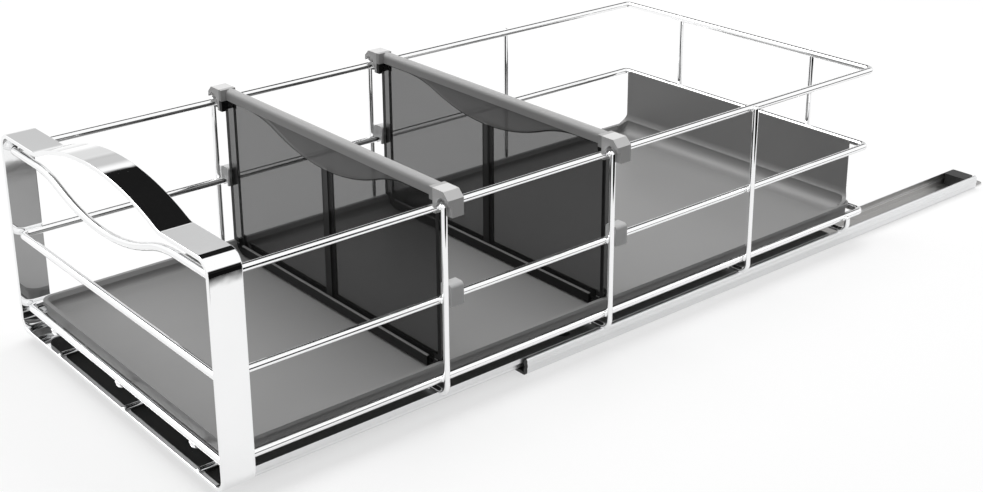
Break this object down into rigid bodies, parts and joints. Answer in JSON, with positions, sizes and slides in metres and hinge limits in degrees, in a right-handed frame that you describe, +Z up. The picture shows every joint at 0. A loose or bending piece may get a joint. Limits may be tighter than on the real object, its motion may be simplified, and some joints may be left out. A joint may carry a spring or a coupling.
{
  "type": "pull out cabinet basket",
  "caption": "Wire basket drawn out of a cabinet on a pair of low ball slides, with a chrome strap front and handle arch, a moulded tray and lift-out dividers",
  "frame": {"origin": "on the cabinet floor, at the middle of the four screws that hold the two floor rails", "axes": "+X to the user's right seen from the front, +Y from the handle back into the cabinet, +Z up"},
  "size_m": [0.245, 0.66, 0.1472],
  "materials": {
    "chrome": "polished chrome plate",
    "zinc": "bright zinc plate, drawn along the rail",
    "cage_steel": "plain pressed steel, lightly oiled",
    "ball_steel": "ground and polished",
    "black_plastic": "black, fine texture",
    "grey_plastic": "mid grey, satin",
    "smoked_plastic": "smoked grey, translucent, satin"
  },
  "bodies": {
    "cabinet_rails": {"floor_rail_left": "zinc", "floor_rail_right": "zinc", "rail_end_cap_left": "black_plastic", "rail_end_cap_right": "black_plastic", "rear_bumper_left": "black_plastic", "rear_bumper_right": "black_plastic"},
    "basket": {"front_frame": "chrome", "top_ring": "chrome", "middle_ring": "chrome", "bottom_ring": "chrome", "cross_wire_front": "chrome", "cross_wire_middle": "chrome", "cross_wire_back": "chrome", "cross_wire_low": "chrome", "floor_wire_left": "chrome", "floor_wire_middle": "chrome", "floor_wire_right": "chrome", "back_wire_left": "chrome", "back_wire_right": "chrome", "slide_rail_left": "zinc", "slide_rail_right": "zinc", "ring_clip_front_left": "smoked_plastic", "ring_clip_front_right": "smoked_plastic", "ring_clip_back_left": "smoked_plastic", "ring_clip_back_right": "smoked_plastic"},
    "left_balls": {"ball_cage_left": "cage_steel", "slide_balls_left": "ball_steel"},
    "right_balls": {"ball_cage_right": "cage_steel", "slide_balls_right": "ball_steel"},
    "lift_out_tray": {"tray": "grey_plastic"},
    "front_divider": {"divider_front": "smoked_plastic"},
    "back_divider": {"divider_back": "smoked_plastic"}
  },
  "joints": [
    {"name": "basket_slide", "type": "slide", "parent": "cabinet_rails", "child": "basket", "axis": [0, -1, 0], "range_m": [-0.156, 0.165]},
    {"name": "left_balls_roll", "type": "slide", "parent": "cabinet_rails", "child": "left_balls", "axis": [0, -1, 0], "range_m": [-0.0781, 0.0826]},
    {"name": "right_balls_roll", "type": "slide", "parent": "cabinet_rails", "child": "right_balls", "axis": [0, -1, 0], "range_m": [-0.0781, 0.0826]},
    {"name": "tray_lift", "type": "slide", "parent": "basket", "child": "lift_out_tray", "axis": [0, 0, 1], "range_m": [0, 0.1]},
    {"name": "front_divider_lift", "type": "slide", "parent": "lift_out_tray", "child": "front_divider", "axis": [0, 0, 1], "range_m": [0, 0.13]},
    {"name": "back_divider_lift", "type": "slide", "parent": "lift_out_tray", "child": "back_divider", "axis": [0, 0, 1], "range_m": [0, 0.13]}
  ],
  "couplings": [
    {"joint": "left_balls_roll", "follows": "basket_slide", "ratio": 0.5},
    {"joint": "right_balls_roll", "follows": "basket_slide", "ratio": 0.5}
  ]
}
